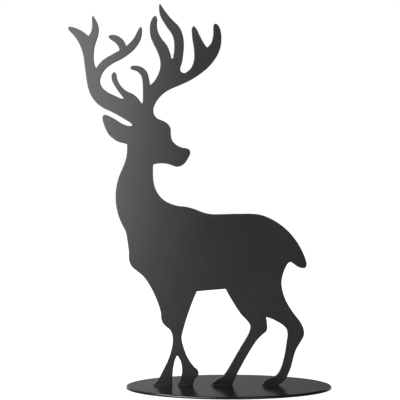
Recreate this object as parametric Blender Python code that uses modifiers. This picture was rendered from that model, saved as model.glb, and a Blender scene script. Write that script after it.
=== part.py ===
"""Stag silhouette on an oval base plate.

A standing stag is cut from flat steel sheet, with its head turned back over its shoulder.
It is welded upright along the middle of a thin oval plate, and both are powder coated black.

Metres, +Z up. The stag's chest faces -X and the front of the sheet faces -Y.
The origin is the middle of the plate's underside.
"""
import math

import bpy
from mathutils import Vector
from mathutils.geometry import interpolate_bezier

# Driving dimensions
STAG_HEIGHT = 0.4467            # hoof line to the tip of the tallest tine
SHEET_THICKNESS = 0.003
PLATE_LENGTH = 0.240
PLATE_WIDTH = 0.120
PLATE_THICKNESS = 0.003
PLATE_EDGE_RADIUS = 0.0006
WELD_GAP = 0.0003               # left between the hooves and the plate

# How finely the curves are cut into straight steps
OUTLINE_SAG = 0.00004           # the most that a step may cut across a curve
OUTLINE_TURN = math.radians(16)
PLATE_SIDES = 96
PLATE_EDGE_STEPS = 2

# The stag's outline, drawn in millimetres as (along, up) from the plate's middle and from the
# hoof line. It goes round clockwise. Each stretch is smooth and begins at a sharp corner, where
# the stretch before it ends. A stretch of one point is a straight line to the next corner.
STRETCHES = {
    "fore leg, chest and nape": [
        (-88.9, 0.0), (-87.3, 2.0), (-84.1, 5.0), (-80.4, 10.0), (-76.6, 17.6),
        (-72.8, 25.0), (-67.4, 40.0), (-65.5, 54.0), (-66.5, 60.4), (-69.3, 65.2),
        (-73.6, 68.6), (-76.9, 72.2), (-78.8, 76.9), (-79.4, 84.0), (-82.5, 94.9),
        (-87.7, 107.4), (-94.5, 119.8), (-100.2, 127.4), (-107.0, 133.1), (-113.4, 138.6),
        (-116.4, 145.0), (-117.0, 156.0), (-118.7, 169.5), (-120.7, 179.7), (-125.3, 188.7),
        (-129.6, 200.0), (-130.8, 236.0), (-127.2, 247.5), (-123.1, 256.8), (-120.3, 265.5),
    ],
    "ear and back of the left antler": [
        (-119.3, 282.3), (-124.8, 283.6), (-130.4, 285.3), (-135.8, 288.9), (-140.3, 293.1),
        (-143.5, 298.5), (-146.2, 305.3), (-147.7, 311.5), (-147.3, 315.2), (-145.2, 316.4),
        (-140.8, 315.2), (-134.9, 312.3), (-122.3, 304.9), (-116.4, 303.4), (-113.2, 304.2),
        (-114.4, 306.3), (-120.3, 310.3), (-138.7, 320.7), (-146.5, 324.2), (-159.6, 336.3),
        (-163.6, 344.5), (-166.3, 356.0), (-168.0, 369.0), (-172.6, 394.1), (-177.6, 404.2),
        (-184.2, 412.5), (-187.7, 416.6), (-188.0, 419.0), (-184.5, 419.3), (-175.9, 416.6),
    ],
    "left antler, second tine": [
        (-164.5, 408.8), (-161.8, 412.5), (-159.9, 425.0), (-160.0, 430.8), (-159.3, 432.3),
        (-157.7, 430.4), (-152.4, 418.8), (-152.6, 411.5), (-157.3, 396.0), (-158.2, 386.5),
        (-157.6, 376.9),
    ],
    "left antler, inner beam": [
        (-155.3, 370.9), (-146.7, 381.1), (-139.6, 385.5),
    ],
    "left antler, beak tine": [
        (-127.9, 391.8), (-129.3, 396.6), (-133.6, 401.6), (-139.6, 406.0), (-141.0, 407.9),
        (-139.6, 409.3), (-134.5, 410.0), (-124.5, 404.9),
    ],
    "left antler, inner tine and brow tine": [
        (-120.1, 397.0), (-112.3, 404.7), (-106.5, 415.0), (-104.7, 418.2), (-103.1, 419.5),
        (-101.9, 417.9), (-101.6, 413.0), (-103.0, 405.3), (-107.6, 397.0), (-125.0, 382.3),
        (-136.2, 376.5), (-144.6, 369.9), (-149.3, 362.4), (-150.8, 355.0), (-148.3, 348.5),
        (-141.7, 342.9), (-132.5, 338.4), (-125.5, 335.5),
    ],
    "short tine": [
        (-122.8, 335.4), (-127.5, 341.6), (-133.3, 349.9), (-136.9, 357.7), (-136.8, 363.7),
        (-134.2, 366.4), (-132.1, 364.8), (-130.8, 358.8), (-119.9, 344.3), (-111.8, 340.5),
        (-106.5, 336.1), (-103.2, 331.6), (-101.8, 330.1), (-100.8, 331.6), (-100.6, 336.0),
        (-100.6, 348.0), (-101.0, 355.5), (-103.1, 362.9), (-107.8, 367.6), (-111.7, 369.1),
        (-114.4, 370.0), (-115.1, 371.7), (-113.8, 373.3), (-109.4, 374.0), (-96.1, 367.1),
        (-93.4, 359.0),
    ],
    "right antler, first tine": [
        (-92.3, 351.3), (-88.3, 354.6), (-83.8, 361.6), (-80.5, 370.0), (-80.1, 378.5),
        (-83.0, 389.0), (-87.9, 399.2), (-91.4, 407.5), (-92.4, 416.5), (-91.3, 425.4),
        (-88.5, 430.7), (-85.6, 432.2), (-84.1, 430.0), (-84.1, 422.5), (-82.7, 413.7),
        (-78.4, 405.4), (-72.8, 398.6), (-69.4, 391.3), (-67.6, 385.5), (-66.3, 382.4),
        (-64.9, 385.9), (-63.9, 393.0), (-66.7, 411.1), (-72.2, 418.8), (-76.9, 426.1),
        (-80.4, 433.0), (-81.6, 440.0), (-81.4, 445.0),
    ],
    "right antler, tall tine and fork": [
        (-80.7, 446.9), (-79.3, 445.1), (-74.6, 437.9), (-68.4, 430.2), (-56.1, 416.3),
        (-53.5, 408.5), (-53.2, 387.5), (-55.0, 376.5), (-56.8, 370.2), (-55.9, 366.9),
        (-53.0, 365.4), (-47.1, 368.2), (-40.7, 380.5), (-40.5, 390.0), (-43.2, 411.5),
        (-43.0, 418.0), (-41.2, 420.3), (-38.8, 418.5), (-34.7, 411.0), (-30.1, 401.9),
    ],
    "right antler, last tine": [
        (-25.4, 395.2), (-22.0, 398.5), (-18.1, 411.5), (-18.1, 418.5), (-17.5, 422.0),
        (-15.6, 423.2), (-12.5, 421.4), (-9.6, 415.5), (-8.5, 407.5), (-8.8, 399.5),
        (-23.8, 372.3), (-34.3, 363.7), (-47.9, 355.4), (-60.3, 350.0), (-70.0, 345.7),
        (-77.9, 340.2), (-84.1, 332.8), (-87.9, 325.0), (-87.8, 317.9), (-83.9, 312.3),
        (-77.4, 309.6), (-71.5, 305.9), (-68.2, 300.8), (-67.8, 295.0), (-67.2, 289.0),
        (-54.6, 278.0), (-49.1, 277.1), (-45.9, 275.4), (-45.0, 272.3), (-47.0, 266.6),
        (-55.5, 256.8), (-60.0, 255.5), (-65.5, 256.9), (-71.6, 258.9),
    ],
    "throat, back, tail and hind leg": [
        (-88.4, 258.2), (-88.8, 249.0), (-84.7, 227.0), (-78.2, 218.4), (-59.5, 209.7),
        (-49.5, 208.6), (-40.5, 206.2), (-31.5, 202.6), (-22.5, 200.3), (-8.0, 200.0),
        (12.0, 200.5), (39.9, 198.6), (51.4, 193.7), (87.0, 155.1), (90.5, 145.9),
        (91.3, 140.3), (89.7, 137.2), (85.1, 137.0), (79.9, 139.0), (75.0, 142.6),
        (72.0, 143.9), (69.8, 142.6), (66.9, 138.1), (63.4, 128.9), (61.9, 119.5),
        (63.1, 110.5), (71.8, 90.3), (78.8, 80.5), (85.0, 72.2), (88.0, 57.6),
        (84.4, 50.8), (79.5, 42.6), (76.2, 33.6), (74.2, 25.3), (71.7, 17.6),
        (64.3, 4.4),
    ],
    "hind hoof, underside": [
        (57.8, 0.0),
    ],
    "hind hoof and inside of the leg": [
        (38.6, 0.0), (43.2, 6.0), (48.2, 8.1), (53.6, 9.9), (58.0, 13.7),
        (61.5, 20.3), (64.0, 28.6), (68.1, 51.5), (69.0, 59.8), (67.5, 65.9),
        (63.5, 70.1), (57.0, 74.1), (50.5, 77.4),
    ],
    "second hind leg, inside": [
        (43.9, 79.6), (44.7, 73.5), (45.2, 67.3), (44.3, 63.2), (40.1, 59.5),
        (33.7, 53.2), (27.1, 43.6), (15.0, 22.7), (10.1, 13.4),
    ],
    "second hind hoof, underside": [
        (4.3, 0.0),
    ],
    "second hind hoof and thigh": [
        (-20.9, 0.0), (-18.9, 3.0), (-13.5, 6.9), (-7.3, 10.3), (-3.3, 14.7),
        (1.5, 22.6), (14.5, 45.2), (20.6, 55.1), (24.6, 63.5), (25.1, 70.2),
        (21.5, 75.4), (14.6, 82.6), (7.8, 92.6),
    ],
    "belly": [
        (-3.7, 112.5), (-20.0, 111.1),
    ],
    "second fore leg": [
        (-37.3, 109.6), (-50.3, 74.9), (-53.3, 64.5), (-55.1, 56.5), (-52.3, 42.0),
        (-43.5, 24.6), (-39.8, 20.3), (-36.8, 17.8), (-35.3, 14.5), (-36.1, 10.7),
        (-39.0, 7.6),
    ],
    "second fore hoof, underside": [
        (-41.9, 0.0),
    ],
    "inside of the fore legs": [
        (-60.8, 0.0), (-57.7, 4.5), (-54.6, 18.0), (-58.4, 32.0), (-60.3, 34.2),
        (-61.8, 32.0), (-64.1, 24.4), (-65.6, 14.0),
    ],
    "fore hoof, underside": [
        (-66.1, 0.0),
    ],
}

# Colour, roughness and metallic value of the black powder coating
COATING = {
    "stag_silhouette": ((0.030, 0.030, 0.031, 1.0), 0.50, 0.0),
    "base_plate": ((0.026, 0.026, 0.027, 1.0), 0.36, 0.0),
}


def clear_scene():
    """Remove the objects that the file opens with."""
    for old in list(bpy.data.objects):
        bpy.data.objects.remove(old, do_unlink=True)


def direction_through(before, here, after):
    """The direction, at the middle point, of the circle through three points."""
    arriving = here - before
    leaving = after - here
    return (arriving / arriving.length_squared + leaving / leaving.length_squared).normalized()


def mirrored(direction, chord):
    """The direction at one end of an arc, from that at the other end and its chord."""
    along = chord.normalized()
    return 2 * direction.dot(along) * along - direction


def end_directions(knots):
    """One direction for each knot of a smooth stretch, so that it bends like a row of arcs."""
    if len(knots) == 2:
        return [(knots[1] - knots[0]).normalized()] * 2
    inner = [direction_through(*knots[i - 1:i + 2]) for i in range(1, len(knots) - 1)]
    first = mirrored(inner[0], knots[1] - knots[0])
    last = mirrored(inner[-1], knots[-1] - knots[-2])
    return [first] + inner + [last]


def span_points(start, end, leaving, arriving):
    """Points from one knot up to the next one, more of them where the curve turns more."""
    chord = end - start
    turn_out = leaving.angle(chord)
    turn_in = arriving.angle(chord)
    turn = turn_out + turn_in
    by_sag = math.sqrt(chord.length * turn / (8 * OUTLINE_SAG))
    steps = max(1, math.ceil(by_sag), math.ceil(turn / OUTLINE_TURN))
    if turn < 1e-4:
        steps = 1
    reach_out = chord.length / (3 * math.cos(turn_out / 2) ** 2)
    reach_in = chord.length / (3 * math.cos(turn_in / 2) ** 2)
    curve = interpolate_bezier(start, start + leaving * reach_out,
                               end - arriving * reach_in, end, steps + 1)
    return curve[:-1]


def stag_outline():
    """The whole outline in metres, with its hoof line at zero and its full height."""
    stretches = list(STRETCHES.values())
    points = []
    drawing_unit = STAG_HEIGHT / max(up for stretch in stretches for _, up in stretch)
    for number, stretch in enumerate(stretches):
        next_corner = stretches[(number + 1) % len(stretches)][0]
        knots = [Vector((along, up)) * drawing_unit for along, up in stretch + [next_corner]]
        directions = end_directions(knots)
        for i in range(len(knots) - 1):
            points += span_points(knots[i], knots[i + 1], directions[i], directions[i + 1])
    return points


def coated(name):
    """The powder coating of one piece."""
    colour, roughness, metallic = COATING[name]
    material = bpy.data.materials.new(name + "_coating")
    material.use_nodes = True
    shader = material.node_tree.nodes["Principled BSDF"]
    shader.inputs["Base Color"].default_value = colour
    shader.inputs["Roughness"].default_value = roughness
    shader.inputs["Metallic"].default_value = metallic
    return material


def make_stag(collection):
    """The flat sheet, standing in the X-Z plane with its middle on Y = 0."""
    curve = bpy.data.curves.new("stag_silhouette", type="CURVE")
    curve.dimensions = "2D"
    curve.fill_mode = "BOTH"
    curve.extrude = SHEET_THICKNESS / 2
    points = stag_outline()
    spline = curve.splines.new("POLY")
    spline.points.add(len(points) - 1)
    for spline_point, (along, up) in zip(spline.points, points):
        spline_point.co = (along, up, 0.0, 1.0)
    spline.use_cyclic_u = True
    stag = bpy.data.objects.new("stag_silhouette", curve)
    stag.rotation_euler = (math.radians(90), 0.0, 0.0)
    stag.location = (0.0, 0.0, PLATE_THICKNESS + WELD_GAP)
    curve.materials.append(coated("stag_silhouette"))
    collection.objects.link(stag)
    return stag


def make_plate(collection):
    """The oval plate, lying on Z = 0 with softened edges."""
    bpy.ops.mesh.primitive_cylinder_add(vertices=PLATE_SIDES, radius=0.5, depth=PLATE_THICKNESS,
                                        location=(0.0, 0.0, PLATE_THICKNESS / 2))
    plate = bpy.context.object
    plate.name = "base_plate"
    plate.data.name = "base_plate"
    plate.scale = (PLATE_LENGTH, PLATE_WIDTH, 1.0)
    bpy.ops.object.transform_apply(location=False, rotation=False, scale=True)
    edge = plate.modifiers.new("softened edge", "BEVEL")
    edge.width = PLATE_EDGE_RADIUS
    edge.segments = PLATE_EDGE_STEPS
    edge.limit_method = "ANGLE"
    plate.data.shade_smooth()
    plate.data.set_sharp_from_angle(angle=math.radians(40))
    plate.data.materials.append(coated("base_plate"))
    for other in plate.users_collection:
        other.objects.unlink(plate)
    collection.objects.link(plate)
    return plate


def main():
    clear_scene()
    collection = bpy.data.collections.new("stag_on_plate")
    bpy.context.scene.collection.children.link(collection)
    make_plate(collection)
    make_stag(collection)


main()
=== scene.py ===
# %% [markdown]
# # A black steel stag on an oval plate
#
# The ornament is a standing stag cut from flat 3 mm steel sheet, with its head turned back over
# its shoulder. It stands on edge along the middle of a thin oval plate, and both are coated in
# satin black powder.
#
# The plain solids of both pieces are already there, at their real size. This lesson makes the
# visible pieces from them: the softened edges, the welds and the coating. Last come the floor,
# the lights and the camera.

# %% Load the solids
import math

import bmesh
import bpy
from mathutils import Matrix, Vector


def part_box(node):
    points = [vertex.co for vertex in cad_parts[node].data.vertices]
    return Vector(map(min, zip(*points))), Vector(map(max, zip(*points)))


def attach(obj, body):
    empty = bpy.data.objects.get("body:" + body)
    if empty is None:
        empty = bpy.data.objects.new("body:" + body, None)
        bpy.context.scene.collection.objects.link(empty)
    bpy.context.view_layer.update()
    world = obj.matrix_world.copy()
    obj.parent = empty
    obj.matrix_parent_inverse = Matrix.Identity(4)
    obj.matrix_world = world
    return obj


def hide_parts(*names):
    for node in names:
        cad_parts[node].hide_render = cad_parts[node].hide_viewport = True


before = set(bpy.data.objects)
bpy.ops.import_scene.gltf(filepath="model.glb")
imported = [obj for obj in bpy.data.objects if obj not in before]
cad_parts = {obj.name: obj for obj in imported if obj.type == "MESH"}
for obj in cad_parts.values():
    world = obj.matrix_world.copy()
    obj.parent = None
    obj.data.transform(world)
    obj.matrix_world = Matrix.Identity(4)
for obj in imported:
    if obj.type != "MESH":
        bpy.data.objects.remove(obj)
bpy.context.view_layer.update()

# %% [markdown]
# ## Measures
#
# The sizes and places of the sheet and the plate are read from the solids, so that a change to
# them carries over. Finer sizes, such as a rounded edge, are set where they are first used. The
# sheet stands in the X-Z plane and its thickness runs along Y. Its front, the side that the
# camera sees, faces -Y.

# %% Read the measures
stag_low, stag_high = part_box("stag_silhouette")
plate_low, plate_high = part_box("base_plate")
SHEET_FRONT = stag_low.y
SHEET_BACK = stag_high.y
HOOF_LINE = stag_low.z
PLATE_TOP = plate_high.z
HAIR = 0.00002                  # a distance too small to see, for comparing places
print("sheet thickness:", round(1000 * (SHEET_BACK - SHEET_FRONT), 2), "mm")
print("hooves above the plate:", round(1000 * (HOOF_LINE - PLATE_TOP), 2), "mm")

# %% [markdown]
# ## Choosing what a step works on
#
# Blender's operators act on whatever is selected, and loading leaves the solids selected. So
# each step starts by choosing one piece and nothing else. In edit mode, edges and faces are then
# picked by where they are.


# %% Choose pieces, edges and faces
def choose_nothing():
    """Deselect every piece."""
    for other in bpy.context.selected_objects:
        other.select_set(False)


def choose(piece):
    """Select this piece alone and make it the active one."""
    choose_nothing()
    piece.select_set(True)
    bpy.context.view_layer.objects.active = piece


def pick(piece, kind, wanted):
    """In edit mode, select the edges or faces that are wanted, and return how many there are."""
    bpy.ops.mesh.select_mode(type=kind)
    bpy.ops.mesh.select_all(action="DESELECT")
    shape = bmesh.from_edit_mesh(piece.data)
    elements = shape.edges if kind == "EDGE" else shape.faces
    picked = [element for element in elements if wanted(element)]
    for element in picked:
        element.select_set(True)
    bmesh.update_edit_mesh(piece.data)
    return len(picked)


choose_nothing()
print("pieces still selected:", len(bpy.context.selected_objects))

# %% [markdown]
# ## The stag: one clean sheet from the solid
#
# The outline is already right, so the visible stag starts as a copy of the solid. The solid's
# mesh is loose triangles. Merging their doubles and dissolving the edges inside flat areas
# leaves one face on the front, one on the back and a band of narrow walls between them. Only
# such a clean mesh can be bevelled.

# %% Copy and clean the sheet
FLAT_ENOUGH = math.radians(0.3)         # faces that meet at less than this become one

stag = bpy.data.objects.new("stag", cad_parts["stag_silhouette"].data.copy())
bpy.context.scene.collection.objects.link(stag)
stag.data.materials.clear()
choose(stag)
bpy.ops.object.mode_set(mode="EDIT")
bpy.ops.mesh.select_all(action="SELECT")
bpy.ops.mesh.remove_doubles(threshold=HAIR / 2)
bpy.ops.mesh.dissolve_limited(angle_limit=FLAT_ENOUGH)
bpy.ops.object.mode_set(mode="OBJECT")
print("faces of the clean sheet:", len(stag.data.polygons))

# %% [markdown]
# ## Softened edges
#
# The cut edges are ground a little before coating, and the powder that melts over them rounds
# them to half a millimetre or so. That narrow round is what catches the light, so it is worth
# making as real mesh. It goes along the front and back outlines, and down the corners where the
# outline turns sharply. The bevel isn't clamped, because one tiny wall in a narrow corner would
# otherwise thin it everywhere.

# %% Round the edges of the cut
EDGE_ROUND = 0.00055
EDGE_STEPS = 3
SHARP_TURN = math.radians(55)
QUARTER_CIRCLE = 0.5            # the bevel profile that makes an even round


def along_outline(edge):
    """An edge of the front or back face."""
    ends = [corner.co for corner in edge.verts]
    return any(all(abs(end.y - side) < HAIR for end in ends)
               for side in (SHEET_FRONT, SHEET_BACK))


def across_a_corner(edge):
    """An edge through the sheet's thickness, where the outline turns sharply."""
    ends = [corner.co for corner in edge.verts]
    through = abs(ends[0].y - ends[1].y) > HAIR
    return through and edge.calc_face_angle(0.0) > SHARP_TURN


choose(stag)
bpy.ops.object.mode_set(mode="EDIT")
rounded = pick(stag, "EDGE", lambda edge: along_outline(edge) or across_a_corner(edge))
bpy.ops.mesh.bevel(offset=EDGE_ROUND, offset_type="OFFSET", segments=EDGE_STEPS,
                   profile=QUARTER_CIRCLE, clamp_overlap=False)
bpy.ops.object.mode_set(mode="OBJECT")
print("edges rounded:", rounded)

# %% [markdown]
# ## Standing on the plate
#
# The solids keep a small gap under the hooves. On the real ornament they touch the plate, so
# the lowest part of each hoof, with its rounded edge, moves down to the plate's top. The faces
# that then lie on the plate tell where each hoof stands, for the welds further on.

# %% Close the gap under the hooves
choose(stag)
bpy.ops.object.mode_set(mode="EDIT")
lowest = HOOF_LINE + EDGE_ROUND + HAIR
pick(stag, "FACE", lambda face: all(corner.co.z < lowest for corner in face.verts))
bpy.ops.transform.translate(value=(0.0, 0.0, PLATE_TOP - HOOF_LINE))
bpy.ops.object.mode_set(mode="OBJECT")

soles = []
for face in stag.data.polygons:
    corners = [stag.data.vertices[index].co for index in face.vertices]
    if all(corner.z < PLATE_TOP + HAIR for corner in corners):
        soles.append((min(corner.x for corner in corners), max(corner.x for corner in corners)))
soles.sort()
print("hooves along the plate:", [[round(1000 * x, 1) for x in sole] for sole in soles], "mm")

# %% [markdown]
# ## Shading that keeps the sheet flat
#
# The front is a single huge face, and smooth shading would bend it towards its rounded rim. The
# Weighted Normal modifier lets the biggest face at each point decide, so the face stays flat and
# only the narrow rim shades as a round. The plate needs the same.

# %% Shade the sheet
SMOOTH_ANGLE = math.radians(32)         # an edge that turns more than this stays crisp
BIGGEST_DECIDES = 100                   # the modifier's strongest preference for big faces


def shade(piece):
    """Shade the piece smoothly, and keep its flat faces flat."""
    choose(piece)
    bpy.ops.object.shade_smooth_by_angle(angle=SMOOTH_ANGLE)
    weighted = piece.modifiers.new("flat faces stay flat", "WEIGHTED_NORMAL")
    weighted.keep_sharp = True
    weighted.weight = BIGGEST_DECIDES
    bpy.ops.object.modifier_apply(modifier=weighted.name)


def tell(piece):
    """Print what was made."""
    piece.data.calc_loop_triangles()
    size = [round(1000 * side, 1) for side in piece.dimensions]
    print(piece.name + ":", len(piece.data.loop_triangles), "triangles,", size, "mm")


shade(stag)
tell(stag)

# %% [markdown]
# ## The oval plate
#
# The plate is a flat oval. A cylinder with many sides, scaled to an oval, gives its outline. In
# the photo the rim shows a dark line above a bright band, which is how a wide round looks when
# the light comes from low on the left. So the upper edge gets a wide bevel and the lower one a
# narrow bevel.

# %% Make the plate
PLATE_SIDES = 192
UPPER_ROUND = 0.0016
UPPER_STEPS = 8
LOWER_ROUND = 0.0004
LOWER_STEPS = 3


def settle(piece):
    """Put the piece's place into its mesh, so that its object sits unturned at the origin."""
    choose(piece)
    bpy.ops.object.transform_apply(location=True, rotation=True, scale=True)


plate_size = plate_high - plate_low
plate_middle = (plate_high + plate_low) / 2
choose_nothing()
bpy.ops.mesh.primitive_cylinder_add(vertices=PLATE_SIDES, radius=0.5, depth=plate_size.z,
                                    location=plate_middle)
plate = bpy.context.object
plate.name = "oval_plate"
plate.scale = (plate_size.x, plate_size.y, 1.0)         # it is one metre across until here
settle(plate)
bpy.ops.object.mode_set(mode="EDIT")
for level, width, steps in ((plate_high.z, UPPER_ROUND, UPPER_STEPS),
                            (plate_low.z, LOWER_ROUND, LOWER_STEPS)):
    pick(plate, "EDGE", lambda edge: all(abs(end.co.z - level) < HAIR for end in edge.verts))
    bpy.ops.mesh.bevel(offset=width, offset_type="OFFSET", segments=steps,
                       profile=QUARTER_CIRCLE)
bpy.ops.object.mode_set(mode="OBJECT")
shade(plate)
tell(plate)

# %% [markdown]
# ## A weld bead
#
# Something has to hold the sheet up, and the front shows no more than a thin line along the foot
# of each hoof. So the working weld is taken to be at the back: one small bead in the corner
# between each hoof and the plate, with a ripple for every drop of metal. A thin smooth seam
# closes the corner at the front.
#
# A bead starts as a cylinder whose axis lies in that corner. Its long edges are divided into
# rings, every second ring is drawn in a little for the ripples, and the end rings are drawn in
# more. Two straight cuts then leave only the quarter that shows. They lie just inside the sheet
# and the plate, so that no gap is left at the rounded edge.

# %% Shape one bead
RIPPLE = 0.0006                 # from the crest of a ripple to the hollow beside it
BEAD_SIDES = 32
SHOULDER = 0.88                 # the share of its thickness that the ring next to an end keeps
TIP = 0.55                      # and the share that the end ring keeps
CUT_REACH = HAIR / 100          # a cut takes points nearer than this as lying on it, and left
                                # alone it would take a tenth of a millimetre


def draw_in(bead, chosen, share, corner):
    """Shrink the rings that are chosen towards the bead's axis."""
    pick(bead, "EDGE", chosen)
    bpy.ops.transform.resize(value=(1.0, share, share), center_override=corner)


def cut_off(point, outwards):
    """Cut through everything at this point, keep the outward side and close it again."""
    bpy.ops.mesh.select_all(action="SELECT")
    bpy.ops.mesh.bisect(plane_co=point, plane_no=outwards, use_fill=True, clear_inner=True,
                        threshold=CUT_REACH)


def make_bead(name, start, stop, leg, side, hollow):
    """A bead from one x to another, at the sheet's back (side 1) or front (side -1)."""
    face = SHEET_BACK if side > 0 else SHEET_FRONT
    corner = (0.0, face, PLATE_TOP)
    gaps = 2 * round((stop - start) / (2 * RIPPLE))
    step = (stop - start) / gaps
    choose_nothing()
    bpy.ops.mesh.primitive_cylinder_add(vertices=BEAD_SIDES, radius=leg, depth=stop - start,
                                        location=((start + stop) / 2, face, PLATE_TOP),
                                        rotation=(0.0, math.radians(90), 0.0))
    bead = bpy.context.object
    bead.name = name
    settle(bead)
    bpy.ops.object.mode_set(mode="EDIT")
    pick(bead, "EDGE", lambda edge: abs(edge.verts[0].co.x - edge.verts[1].co.x) > HAIR)
    bpy.ops.mesh.subdivide(number_cuts=gaps - 1)        # the long edges, into rings

    def ring(edge):
        """The number of the ring that an edge lies in, or None for a long edge."""
        near, far = ((end.co.x - start) / step for end in edge.verts)
        return round(near) if abs(near - far) < 0.5 else None

    draw_in(bead, lambda edge: (ring(edge) or 0) % 2 == 1, hollow, corner)
    draw_in(bead, lambda edge: ring(edge) in (1, gaps - 1), SHOULDER, corner)
    draw_in(bead, lambda edge: ring(edge) in (0, gaps), TIP, corner)
    cut_off((0.0, face - side * EDGE_ROUND, 0.0), (0.0, side, 0.0))     # inside the sheet
    cut_off((0.0, 0.0, PLATE_TOP - HAIR), (0.0, 0.0, 1.0))              # inside the plate
    bpy.ops.mesh.select_all(action="SELECT")
    bpy.ops.mesh.normals_make_consistent(inside=False)
    bpy.ops.object.mode_set(mode="OBJECT")
    return bead


print("a ripple every", round(2000 * RIPPLE, 1), "mm along a bead")

# %% [markdown]
# ## The welds at all hooves
#
# Each hoof gets a bead and a seam, a little shorter than its sole. Joined, they are one piece.

# %% Make the welds
BEAD_LEG = 0.0020               # how far a bead reaches up the sheet and out over the plate
BEAD_HOLLOW = 0.93              # the share of its thickness that a bead keeps between ripples
SEAM_LEG = 0.0008
SEAM_HOLLOW = 1.0
END_MARGIN = 0.0012             # bare corner left at each end of a hoof
WELD_SMOOTH_ANGLE = math.radians(50)

beads = []
for number, (start, stop) in enumerate(soles, 1):
    start, stop = start + END_MARGIN, stop - END_MARGIN
    beads.append(make_bead(f"bead {number}", start, stop, BEAD_LEG, 1, BEAD_HOLLOW))
    beads.append(make_bead(f"seam {number}", start, stop, SEAM_LEG, -1, SEAM_HOLLOW))
choose(beads[0])
for bead in beads:
    bead.select_set(True)
bpy.ops.object.join()
welds = bpy.context.object
welds.name = "hoof_welds"
bpy.ops.object.shade_smooth_by_angle(angle=WELD_SMOOTH_ANGLE)
tell(welds)

# %% [markdown]
# ## Building with shader nodes
#
# Powder coating is even enough to be made by patterns alone, with no picture wrapped round it.
# Such a material is a small tree of nodes. These helpers start a node group with named sockets,
# and add a node with its values in one line.


# %% Helpers for nodes
def new_group(name, inputs, outputs):
    """An empty shader node group with these named sockets, and its two end nodes."""
    group = bpy.data.node_groups.new(name, "ShaderNodeTree")
    for label, kind in inputs:
        group.interface.new_socket(name=label, in_out="INPUT", socket_type=kind)
    for label, kind in outputs:
        group.interface.new_socket(name=label, in_out="OUTPUT", socket_type=kind)
    start = group.nodes.new("NodeGroupInput")
    end = group.nodes.new("NodeGroupOutput")
    start.location = (-900, 0)
    end.location = (700, 0)
    return group, start, end


def set_sockets(node, values):
    """Set the sockets with these names, in which _ stands for a space."""
    for label, value in values.items():
        node.inputs[label.replace("_", " ")].default_value = value


def add(tree, kind, place, **values):
    """A node of this kind at this place, with these sockets set."""
    node = tree.nodes.new(kind)
    node.location = place
    set_sockets(node, values)
    return node


# %% [markdown]
# ## The coating, part one: a skin that is not quite smooth
#
# Powder melts into a skin with a gentle waviness a few millimetres wide, which the trade calls
# orange peel, and a far finer grain. Both are only microns deep, so they belong in a bump. Both
# pieces use them, so they go into a node group that puts out one normal. Its patterns read
# Object coordinates in metres, which lets each size be written as it is on the real thing.

# %% A group for orange peel and grain
PER_METRE = 1.0                 # a noise of scale 1 / w has features about w metres wide
PEEL_WIDTH = 0.0035
GRAIN_WIDTH = 0.0005

skin, skin_in, skin_out = new_group(
    "powder skin",
    [("Coordinates", "NodeSocketVector"), ("Peel Depth", "NodeSocketFloat"),
     ("Grain Depth", "NodeSocketFloat")],
    [("Normal", "NodeSocketVector")])
peel = add(skin, "ShaderNodeTexNoise", (-600, 200), Scale=PER_METRE / PEEL_WIDTH, Detail=1.0)
grain = add(skin, "ShaderNodeTexNoise", (-600, -200), Scale=PER_METRE / GRAIN_WIDTH, Detail=2.0)
peel_height = add(skin, "ShaderNodeMath", (-300, 200))
peel_height.operation = "MULTIPLY"
grain_height = add(skin, "ShaderNodeMath", (-300, -200))
grain_height.operation = "MULTIPLY"
both = add(skin, "ShaderNodeMath", (0, 0))
both.operation = "ADD"
bump = add(skin, "ShaderNodeBump", (300, 0), Strength=1.0, Distance=1.0)
for noise, height, depth in ((peel, peel_height, "Peel Depth"),
                             (grain, grain_height, "Grain Depth")):
    skin.links.new(skin_in.outputs["Coordinates"], noise.inputs["Vector"])
    skin.links.new(noise.outputs["Fac"], height.inputs[0])
    skin.links.new(skin_in.outputs[depth], height.inputs[1])
skin.links.new(peel_height.outputs[0], both.inputs[0])
skin.links.new(grain_height.outputs[0], both.inputs[1])
skin.links.new(both.outputs[0], bump.inputs["Height"])
skin.links.new(bump.outputs["Normal"], skin_out.inputs["Normal"])
print("node group:", skin.name)

# %% [markdown]
# ## The coating, part two: uneven thickness
#
# The powder lies a little thicker in some places than in others. Where it is thin it dries
# duller and paler. This second group turns a slow noise, with some fine specks mixed in, into a
# colour between two blacks and a roughness between two values, so each piece can have its own
# four.

# %% A group for cloudy colour and sheen
CLOUD_WIDTH = 0.045
SPECK_WIDTH = 0.0012
SPECK_SHARE = 0.3
NOISE_LOW = 0.35                # the noise seldom leaves this range, which is spread to 0 to 1
NOISE_HIGH = 0.65
COLOUR_A = 6                    # a Mix node's colour sockets share their names with others, so
COLOUR_B = 7                    # they go by number
COLOUR_RESULT = 2

cloud, cloud_in, cloud_out = new_group(
    "powder clouds",
    [("Coordinates", "NodeSocketVector"), ("Thick Colour", "NodeSocketColor"),
     ("Thin Colour", "NodeSocketColor"), ("Glossy", "NodeSocketFloat"),
     ("Dull", "NodeSocketFloat")],
    [("Colour", "NodeSocketColor"), ("Roughness", "NodeSocketFloat")])
slow = add(cloud, "ShaderNodeTexNoise", (-600, 200), Scale=PER_METRE / CLOUD_WIDTH, Detail=2.0)
speck = add(cloud, "ShaderNodeTexNoise", (-600, -200), Scale=PER_METRE / SPECK_WIDTH, Detail=2.0)
blend_noise = add(cloud, "ShaderNodeMix", (-300, 0), Factor=SPECK_SHARE)
blend_noise.data_type = "FLOAT"
spread = add(cloud, "ShaderNodeMapRange", (-50, 0), From_Min=NOISE_LOW, From_Max=NOISE_HIGH)
colour_mix = add(cloud, "ShaderNodeMix", (300, 200))
colour_mix.data_type = "RGBA"
sheen_mix = add(cloud, "ShaderNodeMapRange", (300, -200))
for noise in (slow, speck):
    cloud.links.new(cloud_in.outputs["Coordinates"], noise.inputs["Vector"])
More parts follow.
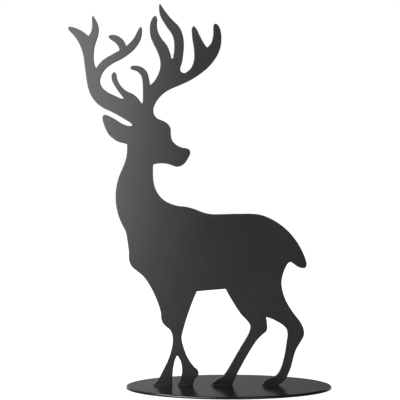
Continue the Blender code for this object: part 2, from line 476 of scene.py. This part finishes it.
cloud.links.new(slow.outputs["Fac"], blend_noise.inputs["A"])
cloud.links.new(speck.outputs["Fac"], blend_noise.inputs["B"])
cloud.links.new(blend_noise.outputs["Result"], spread.inputs["Value"])
cloud.links.new(spread.outputs["Result"], colour_mix.inputs["Factor"])
cloud.links.new(cloud_in.outputs["Thick Colour"], colour_mix.inputs[COLOUR_A])
cloud.links.new(cloud_in.outputs["Thin Colour"], colour_mix.inputs[COLOUR_B])
cloud.links.new(spread.outputs["Result"], sheen_mix.inputs["Value"])
cloud.links.new(cloud_in.outputs["Glossy"], sheen_mix.inputs["To Min"])
cloud.links.new(cloud_in.outputs["Dull"], sheen_mix.inputs["To Max"])
cloud.links.new(colour_mix.outputs[COLOUR_RESULT], cloud_out.inputs["Colour"])
cloud.links.new(sheen_mix.outputs["Result"], cloud_out.inputs["Roughness"])
print("node group:", cloud.name)

# %% [markdown]
# ## Two finishes from the same powder
#
# The sheet and the plate are coated in one go, so both materials place the same two groups and
# differ only in their values. What is the same all over, such as the powder's refraction, is
# set on the shader itself.

# %% Mix the finishes
POWDER_IOR = 1.5


def add_group(tree, group, place, **values):
    """A node that places this group, with these of its sockets set."""
    node = add(tree, "ShaderNodeGroup", place)
    node.node_tree = group
    set_sockets(node, values)
    return node


def powder_coat(name, thick, thin, glossy, dull, peel_depth, grain_depth):
    """A satin powder coating, from the two shared groups."""
    material = bpy.data.materials.new(name)
    material.use_nodes = True
    tree = material.node_tree
    shader = tree.nodes["Principled BSDF"]
    shader.inputs["IOR"].default_value = POWDER_IOR
    shader.inputs["Metallic"].default_value = 0.0
    place = add(tree, "ShaderNodeTexCoord", (-900, 0))
    clouds = add_group(tree, cloud, (-400, 200), Thick_Colour=(*thick, 1.0),
                       Thin_Colour=(*thin, 1.0), Glossy=glossy, Dull=dull)
    surface = add_group(tree, skin, (-400, -200), Peel_Depth=peel_depth,
                        Grain_Depth=grain_depth)
    for group in (clouds, surface):
        tree.links.new(place.outputs["Object"], group.inputs["Coordinates"])
    tree.links.new(clouds.outputs["Colour"], shader.inputs["Base Color"])
    tree.links.new(clouds.outputs["Roughness"], shader.inputs["Roughness"])
    tree.links.new(surface.outputs["Normal"], shader.inputs["Normal"])
    return material


sheet_coat = powder_coat("sheet powder coat", thick=(0.0036, 0.0036, 0.0037),
                         thin=(0.0052, 0.0052, 0.0054), glossy=0.265, dull=0.285,
                         peel_depth=0.000006, grain_depth=0.0000012)
plate_coat = powder_coat("plate powder coat", thick=(0.0030, 0.0030, 0.0031),
                         thin=(0.0045, 0.0045, 0.0047), glossy=0.18, dull=0.21,
                         peel_depth=0.000004, grain_depth=0.0000008)
print("finishes:", sheet_coat.name, "and", plate_coat.name)

# %% [markdown]
# ## Dressing the pieces
#
# Each piece gets its finish, and the solids that the stag and the plate replace are hidden, so
# that they no longer show. The welds replace no solid, because the solids leave weld metal out.
# They were coated with the sheet, so they share its finish.

# %% Dress the pieces
for piece, coat, slot in ((stag, sheet_coat, "sheet_coating"),
                          (plate, plate_coat, "plate_coating"),
                          (welds, sheet_coat, "sheet_coating")):
    piece.data.materials.clear()
    piece.data.materials.append(coat)
    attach(piece, "root")
    print(piece.name, "is coated with", coat.name)
for piece, node in ((stag, "stag_silhouette"), (plate, "base_plate")):
    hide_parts(node)
    print(piece.name, "stands for", node)

# %% [markdown]
# ## A pale floor
#
# The picture to match is cut out on white. A plain matte floor stands in for it, and it glows a
# little, to the camera alone, so that it melts into the white behind it and keeps only a faint
# shadow.

# %% Lay the floor
FLOOR_SIZE = 12.0
FLOOR_GREY = 0.50
FLOOR_ROUGHNESS = 0.9
WHITE = (1.0, 1.0, 1.0, 1.0)
GLOW_NEAR = 0.15                # metres from the plate's middle
GLOW_FAR = 0.9
GLOW_AT_PLATE = 0.80            # the glow up to the near distance
GLOW_AROUND = 1.05              # and past the far one

choose_nothing()
bpy.ops.mesh.primitive_plane_add(size=FLOOR_SIZE, location=(0.0, 0.0, 0.0))
floor = bpy.context.object
floor.name = "floor"
floor_paint = bpy.data.materials.new("matte floor")
floor_paint.use_nodes = True
tree = floor_paint.node_tree
shader = tree.nodes["Principled BSDF"]
shader.inputs["Base Color"].default_value = (FLOOR_GREY, FLOOR_GREY, FLOOR_GREY, 1.0)
shader.inputs["Roughness"].default_value = FLOOR_ROUGHNESS
shader.inputs["Emission Color"].default_value = WHITE
rays = add(tree, "ShaderNodeLightPath", (-600, 200))
place = add(tree, "ShaderNodeTexCoord", (-1200, -100))
away = add(tree, "ShaderNodeVectorMath", (-900, -100))
away.operation = "LENGTH"
fade = add(tree, "ShaderNodeMapRange", (-600, -100), From_Min=GLOW_NEAR, From_Max=GLOW_FAR,
           To_Min=GLOW_AT_PLATE, To_Max=GLOW_AROUND)
glow = add(tree, "ShaderNodeMath", (-300, 0))
glow.operation = "MULTIPLY"
tree.links.new(place.outputs["Object"], away.inputs[0])
tree.links.new(away.outputs["Value"], fade.inputs["Value"])
tree.links.new(rays.outputs["Is Camera Ray"], glow.inputs[0])
tree.links.new(fade.outputs["Result"], glow.inputs[1])
tree.links.new(glow.outputs[0], shader.inputs["Emission Strength"])
floor.data.materials.append(floor_paint)
print("floor laid:", FLOOR_SIZE, "m square")

# %% [markdown]
# ## Soft studio light
#
# Black satin shows almost nothing but reflections. A tall softbox stands to the left of the
# camera, and the grey that runs from the left antler to the dark hind legs is its reflection in
# the sheet, fading out to the right. Two smaller and brighter ones further left draw the light
# lines on the rim of the plate and on the left edges of the hooves. A weak one on the right
# lifts the right antler and the rump. Two behind keep the back of the sheet from going quite
# black.


# %% Place the lights
def softbox(name, place, aim, width, height, watts):
    """A rectangular lamp at this place, turned to face this point."""
    lamp = bpy.data.lights.new(name, "AREA")
    lamp.shape = "RECTANGLE"
    lamp.size = width
    lamp.size_y = height
    lamp.energy = watts
    holder = bpy.data.objects.new(name, lamp)
    holder.location = place
    holder.rotation_euler = (Vector(aim) - Vector(place)).to_track_quat("-Z", "Y").to_euler()
    holder.visible_camera = False
    bpy.context.scene.collection.objects.link(holder)


BODY = (-0.05, 0.0, 0.25)
FEET = (-0.05, 0.0, 0.15)
softbox("tall softbox", (-0.520, -1.113, 0.579), BODY, width=0.71, height=1.49, watts=15.0)
softbox("low softbox", (-0.696, -1.120, 0.286), FEET, width=0.26, height=0.36, watts=6.4)
softbox("high softbox", (-0.876, -0.557, 0.986), FEET, width=0.26, height=0.36, watts=9.9)
softbox("right softbox", (0.32, -1.10, 0.60), BODY, width=0.36, height=0.96, watts=1.4)
softbox("back left softbox", (-0.95, 1.60, 0.70), BODY, width=0.60, height=1.00, watts=3.0)
softbox("back right softbox", (1.30, 1.30, 0.75), BODY, width=0.90, height=1.20, watts=4.5)

# %% [markdown]
# ## The room around it
#
# The room is dark in front of the ornament and pale behind it, more so on the left. The plate,
# seen at a low angle, mirrors that pale side. The world's shader makes this from the direction
# of each ray: one factor fades from left to right, the other from back to front. To the camera
# itself the room is plain white.

# %% Light the room
ROOM_GLOW = 0.72                # how bright the room is at its brightest, at the back left
BRIGHT_UNTIL_X = -0.5           # sideways it is brightest where a direction's X is below this
DARK_FROM_X = 0.43              # and dark where it is above this
DARK_UNTIL_Y = -0.3             # it is dark in front, where a direction's Y is below this
BRIGHT_FROM_Y = 0.3             # and brightest behind, where it is above this

world = bpy.data.worlds.new("studio")
bpy.context.scene.world = world
world.use_nodes = True
tree = world.node_tree
tree.nodes.clear()
rays = add(tree, "ShaderNodeLightPath", (-300, 300))
direction = add(tree, "ShaderNodeTexCoord", (-1200, 0))
parts = add(tree, "ShaderNodeSeparateXYZ", (-900, 0))
leftness = add(tree, "ShaderNodeMapRange", (-600, 100), From_Min=BRIGHT_UNTIL_X,
               From_Max=DARK_FROM_X, To_Min=ROOM_GLOW, To_Max=0.0)
backness = add(tree, "ShaderNodeMapRange", (-600, -200), From_Min=DARK_UNTIL_Y,
               From_Max=BRIGHT_FROM_Y, To_Min=0.0, To_Max=1.0)
strength = add(tree, "ShaderNodeMath", (-300, 0))
strength.operation = "MULTIPLY"
room = add(tree, "ShaderNodeBackground", (0, 0), Color=WHITE)
backdrop = add(tree, "ShaderNodeBackground", (0, -200), Color=WHITE, Strength=1.0)
choice = add(tree, "ShaderNodeMixShader", (300, 0))
result = add(tree, "ShaderNodeOutputWorld", (600, 0))
tree.links.new(direction.outputs["Generated"], parts.inputs["Vector"])
tree.links.new(parts.outputs["X"], leftness.inputs["Value"])
tree.links.new(parts.outputs["Y"], backness.inputs["Value"])
tree.links.new(leftness.outputs["Result"], strength.inputs[0])
tree.links.new(backness.outputs["Result"], strength.inputs[1])
tree.links.new(strength.outputs[0], room.inputs["Strength"])
tree.links.new(rays.outputs["Is Camera Ray"], choice.inputs["Fac"])
tree.links.new(room.outputs[0], choice.inputs[1])
tree.links.new(backdrop.outputs[0], choice.inputs[2])
tree.links.new(choice.outputs[0], result.inputs["Surface"])
print("room:", world.name)

# %% [markdown]
# ## The camera
#
# The camera stands a metre away, level with the middle of the body, with a short telephoto lens.
# From there the plate shows as a narrow oval. It looks straight ahead, and its lens is shifted a
# little to take in the plate, so upright lines stay upright. The colours stay as rendered, with
# no film look, so that white stays white.

# %% Set up the camera
CAMERA_PLACE = (-0.0336, -1.026, 0.2298)
FOCAL_LENGTH = 78.8             # millimetres, as on a full-frame camera
SENSOR_WIDTH = 36.0
LENS_SHIFT = -0.0213            # a share of the picture's width, downwards

lens = bpy.data.cameras.new("camera")
lens.lens = FOCAL_LENGTH
lens.sensor_width = SENSOR_WIDTH
lens.shift_y = LENS_SHIFT
camera = bpy.data.objects.new("camera", lens)
camera.location = CAMERA_PLACE
camera.rotation_euler = (math.radians(90), 0.0, 0.0)
bpy.context.scene.collection.objects.link(camera)
bpy.context.scene.camera = camera
bpy.context.scene.view_settings.view_transform = "Standard"
print("camera at", [round(value, 3) for value in camera.location])
